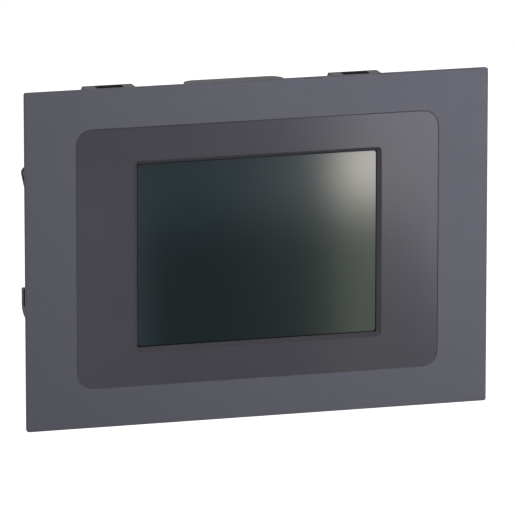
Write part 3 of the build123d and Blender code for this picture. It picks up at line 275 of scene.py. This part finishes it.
def circuit_board(name, color):
    """Solder mask over copper: lighter tracks in a grid of short runs, with small vias."""
    f = Finish(name, color, 0.32)
    bricks = f.node("ShaderNodeTexBrick", offset=0.37, squash=0.7)
    f.link(f.coords, bricks.inputs["Vector"])
    bricks.inputs["Scale"].default_value = 180.0
    bricks.inputs["Mortar Size"].default_value = 0.06
    tracks = bricks.outputs["Fac"]
    board = f.mix(tracks, color, scaled(color, 1.8))
    vias = f.spread(f.cells(3.1), 1.0, 0.0, 0.10, 0.13)
    f.color(f.mix(vias, board, (0.55, 0.47, 0.28)))
    return f.bump(f.math("ADD", tracks, f.noise(0.8, 1)), 0.02, 0.4).material


def clear_plate(name, color):
    """Clear glass or acrylic with a faint tint; it is seen only at its edges."""
    f = Finish(name, color, 0.06)
    f.set(Transmission_Weight=0.85, IOR=1.49)
    f.color(f.mix(f.spread(f.noise(20, 1), 0, 1), color, scaled(color, 0.94)))
    return f.roughness(f.spread(f.noise(5, 2), 0.04, 0.09)).material


def flat_label(name, color):
    """Blank matt film label with a faint printed frame of ruled boxes."""
    f = Finish(name, color, 0.42)
    low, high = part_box("rating_label")
    size = high - low
    bricks = f.node("ShaderNodeTexBrick", offset=0.0)
    mapping = f.node("ShaderNodeMapping")
    mapping.inputs["Location"].default_value = (-low.x, -low.z, 0)
    swap = f.node("ShaderNodeSeparateXYZ")
    join = f.node("ShaderNodeCombineXYZ")
    f.link(f.coords, swap.inputs[0])
    f.link(swap.outputs["X"], join.inputs["X"])
    f.link(swap.outputs["Z"], join.inputs["Y"])
    f.link(join.outputs[0], mapping.inputs["Vector"])
    f.link(mapping.outputs["Vector"], bricks.inputs["Vector"])
    bricks.inputs["Scale"].default_value = 1.0
    bricks.inputs["Brick Width"].default_value = size.x / 2
    bricks.inputs["Row Height"].default_value = size.z / 5
    bricks.inputs["Mortar Size"].default_value = 0.3 * MM
    lines = bricks.outputs["Fac"]
    tone = f.mix(f.spread(f.noise(12, 2), 0, 1), scaled(color, 0.97), color)
    f.color(f.mix(lines, tone, (0.18, 0.19, 0.2)))
    f.roughness(f.spread(f.noise(2, 2), 0.38, 0.48))
    return f.bump(f.noise(0.8, 2), 0.004, 0.4).material


DISPLAY, SHEET = (114.5, 85.7, 1.3), (173.8, 121.8, 7.5)    # width, height and corner radius, mm
EDGE_SHADOW_WIDTH = 0.22    # width of the painted shadow line along two of the sheet's edges, mm
SLATE = (0.101, 0.102, 0.126)
CASE = (0.062, 0.062, 0.069)

FINISHES = {
    "painted_plate": lambda n: powder_coat(n, SLATE, (0.095, 0.091, 0.105)),
    "overlay": lambda n: printed_film(n, (0.099, 0.095, 0.114)),
    "gasket": lambda n: rubber(n, (0.012, 0.012, 0.012)),
    "tape": lambda n: rubber(n, (0.006, 0.006, 0.006)),
    "touch_film": lambda n: display_face(n, (0.010, 0.017, 0.018)),
    "touch_glass": lambda n: clear_plate(n, (0.80, 0.86, 0.85)),
    "flex": lambda n: moulded(n, (0.42, 0.17, 0.03), 0.3, 1.2, 0.02, 0),
    "foam": lambda n: rubber(n, (0.015, 0.015, 0.016)),
    "sheet_steel": lambda n: sheet_metal(n, (0.60, 0.61, 0.62)),
    "lcd_cell": lambda n: moulded(n, (0.02, 0.03, 0.03), 0.15, 4.0, 0.004, 0),
    "diffuser": lambda n: moulded(n, (0.86, 0.86, 0.84), 0.6, 0.5, 0.01, 0),
    "light_guide": lambda n: clear_plate(n, (0.88, 0.93, 0.92)),
    "led": lambda n: moulded(n, (0.86, 0.80, 0.50), 0.35, 1.5, 0.02, 0),
    "tray": lambda n: moulded(n, (0.74, 0.74, 0.72), 0.5, 0.5, 0.02, 0),
    "screw": lambda n: machined(n, (0.63, 0.63, 0.65)),
    "board": lambda n: circuit_board(n, (0.008, 0.085, 0.035)),
    "chip": lambda n: moulded(n, (0.014, 0.014, 0.015), 0.4, 0.3, 0.01, 0),
    "pad": lambda n: rubber(n, (0.20, 0.26, 0.34)),
    "heat_sink": lambda n: sheet_metal(n, (0.10, 0.10, 0.11), 0.42, (18.0, 18.0, 1.0)),
    "can": lambda n: sheet_metal(n, (0.66, 0.67, 0.69), 0.3, (18.0, 1.0, 18.0)),
    "transformer": lambda n: moulded(n, (0.62, 0.46, 0.08), 0.35, 2.0, 0.03, 0),
    "black_plastic": lambda n: moulded(n, (0.016, 0.016, 0.017), 0.42, 0.4, 0.015, 0.1),
    "cell": lambda n: machined(n, (0.74, 0.74, 0.75), 0.18),
    "cream_plastic": lambda n: moulded(n, (0.72, 0.66, 0.48), 0.45, 0.4, 0.015, 0),
    "shield": lambda n: sheet_metal(n, (0.66, 0.66, 0.67), 0.26, (1.0, 16.0, 1.0)),
    "gold": lambda n: machined(n, (0.80, 0.58, 0.22), 0.2),
    "green_plastic": lambda n: moulded(n, (0.015, 0.17, 0.045), 0.38, 0.4, 0.015, 0.2),
    "clamp_steel": lambda n: machined(n, (0.68, 0.67, 0.63), 0.3),
    "white_plastic": lambda n: moulded(n, (0.78, 0.78, 0.75), 0.4, 0.4, 0.015, 0),
    "blue_plastic": lambda n: moulded(n, (0.01, 0.05, 0.28), 0.38, 0.4, 0.015, 0),
    # the case gets painted shade in its slots and holes
    "case": lambda n: moulded(n, CASE, 0.5, shade_reach_mm=14.0),
    "label": lambda n: flat_label(n, (0.60, 0.61, 0.62)),
}


def dress_nodes():
    """Gives every CAD node the finish of its material slot."""
    made = {slot: build(slot) for slot, build in FINISHES.items()}
    for entry in frame["record"]["subparts"]:
        mesh = NODES[entry["node"]].data
        mesh.materials.clear()
        mesh.materials.append(made[entry["material_slot"]])


# ---------------------------------------------------------------- studio
# Lengths are in metres, and the shifts are fractions of the image's width. The camera was fitted to the corners of
# the flange in the photo. The card is the softbox that the front mirrors, and one soft edge of its light crosses it
# at a slant.
CAMERA_AZIMUTH, CAMERA_ELEVATION = math.radians(-16.26), math.radians(12.58)
CAMERA_DISTANCE, LENS, SENSOR = 3.095, 468.2, 36
SHIFT_RIGHT, SHIFT_UP = 1.22 / 515, 8.13 / 515
FLOOR_Z, FLOOR_HALF = -6.0, 30.0
CARD_X, CARD_Y, CARD_Z, CARD_GLOW = (0.03, 0.65), -0.6, (-0.25, 0.25), 10.4
EDGE_X, EDGE_SLOPE = 0.272, 1.6

LIGHTS = [    # name, place (m), size (m), power (W), shown in reflections
    ("key", (-0.32, -2.2, 0.70), (1.4, 1.2), 20, True),
    ("rear", (0.5, 1.2, 1.7), (1.4, 1.0), 12, True),
    ("rear_left", (-1.5, 0.9, 0.2), (1.0, 1.2), 7, True),
    ("back", (0.4, 2.3, 0.0), (1.6, 1.0), 26, False),
]


def towards(azimuth, elevation):
    """Unit vector from the object to a viewer."""
    flat = math.cos(elevation)
    return Vector((math.sin(azimuth) * flat, -math.cos(azimuth) * flat, math.sin(elevation)))


def aim(obj, target):
    obj.rotation_mode = "QUATERNION"
    obj.rotation_quaternion = (target - obj.location).to_track_quat("-Z", "Y")


def add_camera():
    low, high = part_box("front_bezel")
    target = Vector(((low.x + high.x) / 2, low.y, (low.z + high.z) / 2))
    data = bpy.data.cameras.new("camera")
    data.lens, data.sensor_width = LENS, SENSOR
    data.shift_x, data.shift_y = -SHIFT_RIGHT, -SHIFT_UP
    data.clip_start, data.clip_end = 0.05, 60
    camera = bpy.data.objects.new("camera", data)
    bpy.context.scene.collection.objects.link(camera)
    camera.location = target + towards(CAMERA_AZIMUTH, CAMERA_ELEVATION) * CAMERA_DISTANCE
    aim(camera, target)
    bpy.context.scene.camera = camera


def add_area(name, place, size, power, sheen):
    """A white rectangular light aimed at the object; without sheen it is left out of reflections."""
    data = bpy.data.lights.new(name, "AREA")
    data.shape = "RECTANGLE"
    data.size, data.size_y = size
    data.energy = power
    lamp = bpy.data.objects.new(name, data)
    bpy.context.scene.collection.objects.link(lamp)
    lamp.location = place
    lamp.visible_glossy = sheen
    aim(lamp, Vector((0, 0, 0)))


def add_world():
    """White behind the object, dim ahead of it where its display would mirror the room, softly lit elsewhere."""
    world = bpy.data.worlds.new("studio")
    bpy.context.scene.world = world
    world.use_nodes = True
    tree = world.node_tree
    background = tree.nodes["Background"]
    rays = tree.nodes.new("ShaderNodeLightPath")
    place = tree.nodes.new("ShaderNodeTexCoord")
    split = tree.nodes.new("ShaderNodeSeparateXYZ")
    tree.links.new(place.outputs["Generated"], split.inputs[0])
    behind = tree.nodes.new("ShaderNodeMapRange")
    behind.inputs["From Min"].default_value = -0.3
    behind.inputs["From Max"].default_value = 0.3
    tree.links.new(split.outputs["Y"], behind.inputs["Value"])

    def blend(factor, a, b):
        made = tree.nodes.new("ShaderNodeMix")
        made.data_type = "RGBA"
        tree.links.new(factor, made.inputs["Factor"])
        for socket, value in ((made.inputs[6], a), (made.inputs[7], b)):
            if hasattr(value, "links"):
                tree.links.new(value, socket)
            else:
                socket.default_value = (*value, 1)
        return made.outputs[2]

    mirrored = blend(behind.outputs["Result"], (0.22, 0.22, 0.25), (0.42, 0.42, 0.45))
    light = blend(rays.outputs["Is Glossy Ray"], (0.24, 0.24, 0.25), mirrored)
    tree.links.new(blend(rays.outputs["Is Camera Ray"], light, (1, 1, 1)), background.inputs["Color"])


def glow(color, radiance):
    return tuple(c * radiance for c in color)


def softbox_glow(name):
    """What the front mirrors. Within the display: warm and bright above right, greenish low on the right, dim blue
    towards the left. Around it, on the dark sheet and the flange: a light with one slanting soft edge."""
    f = Finish(name, (0, 0, 0), 1.0).set(Specular_IOR_Level=0.0, Emission_Strength=1.0)
    x, z = f.place("X"), f.place("Z")
    rise = f.smooth(z, -0.147, -0.096)
    dim = f.mix(rise, glow((0.60, 0.88, 1.0), 0.22), glow((0.60, 0.86, 1.0), 0.80))
    dim = f.mix(f.smooth(x, 0.122, 0.095), dim, glow((0.70, 0.92, 1.0), 1.0))
    haze = f.mix(rise, glow((0.80, 1.0, 0.95), 0.55), glow((0.78, 0.95, 1.0), 1.9))
    box = f.mix(f.math("POWER", rise, 1.9), glow((0.88, 1.0, 0.74), 2.2), glow((1.0, 0.95, 0.84), 14.2))
    shown = f.mix(f.smooth(x, 0.14, 0.24), dim, haze)
    shown = f.mix(f.smooth(x, 0.207, 0.239), shown, box)
    slant = f.math("ADD", z, f.math("MULTIPLY", f.math("SUBTRACT", x, EDGE_X), EDGE_SLOPE))
    base = f.mix(f.smooth(slant, -0.40, -0.18), glow((0.9, 0.92, 1.0), 0.2), glow((0.93, 0.92, 1.0), 0.7))
    around = f.mix(f.smooth(slant, -0.184, -0.102), base, glow((0.93, 0.915, 1.0), CARD_GLOW))
    outside = f.math("MAXIMUM", f.smooth(x, 0.246, 0.256), f.smooth(z, -0.087, -0.077))
    f.link(f.mix(outside, shown, around), f.shader.inputs["Emission Color"])
    return f.material


def add_softbox():
    """A graded light ahead of the display that shows only in reflections."""
    (x0, x1), (z0, z1), y = CARD_X, CARD_Z, CARD_Y
    mesh = bpy.data.meshes.new("softbox")
    mesh.from_pydata([(x0, y, z0), (x1, y, z0), (x1, y, z1), (x0, y, z1)], [], [(0, 1, 2, 3)])
    mesh.materials.append(softbox_glow("softbox"))
    card = bpy.data.objects.new("softbox", mesh)
    bpy.context.scene.collection.objects.link(card)
    card.visible_camera = False
    card.visible_diffuse = False
    card.visible_transmission = False
    card.visible_shadow = False


def add_floor():
    """Plain pale floor, well below the object, which stands in the air as if held by its panel."""
    mesh = bpy.data.meshes.new("floor")
    corners = ((-1, -1), (1, -1), (1, 1), (-1, 1))
    mesh.from_pydata([(x * FLOOR_HALF, y * FLOOR_HALF, FLOOR_Z) for x, y in corners], [], [(0, 1, 2, 3)])
    floor = bpy.data.objects.new("floor", mesh)
    bpy.context.scene.collection.objects.link(floor)
    material = bpy.data.materials.new("floor")
    material.use_nodes = True
    shader = material.node_tree.nodes["Principled BSDF"]
    shader.inputs["Base Color"].default_value = (0.9, 0.9, 0.9, 1)
    shader.inputs["Roughness"].default_value = 0.9
    shader.inputs["Emission Color"].default_value = (1, 1, 1, 1)
    shader.inputs["Emission Strength"].default_value = 1.0
    mesh.materials.append(material)
    floor.visible_diffuse = False
    floor.visible_glossy = False


def add_studio():
    add_world()
    add_floor()
    for name, place, size, power, sheen in LIGHTS:
        add_area(name, place, size, power, sheen)
    add_softbox()
    add_camera()
    bpy.context.scene.view_settings.view_transform = "Standard"
    bpy.context.scene.view_settings.look = "None"


dress_nodes()
add_studio()
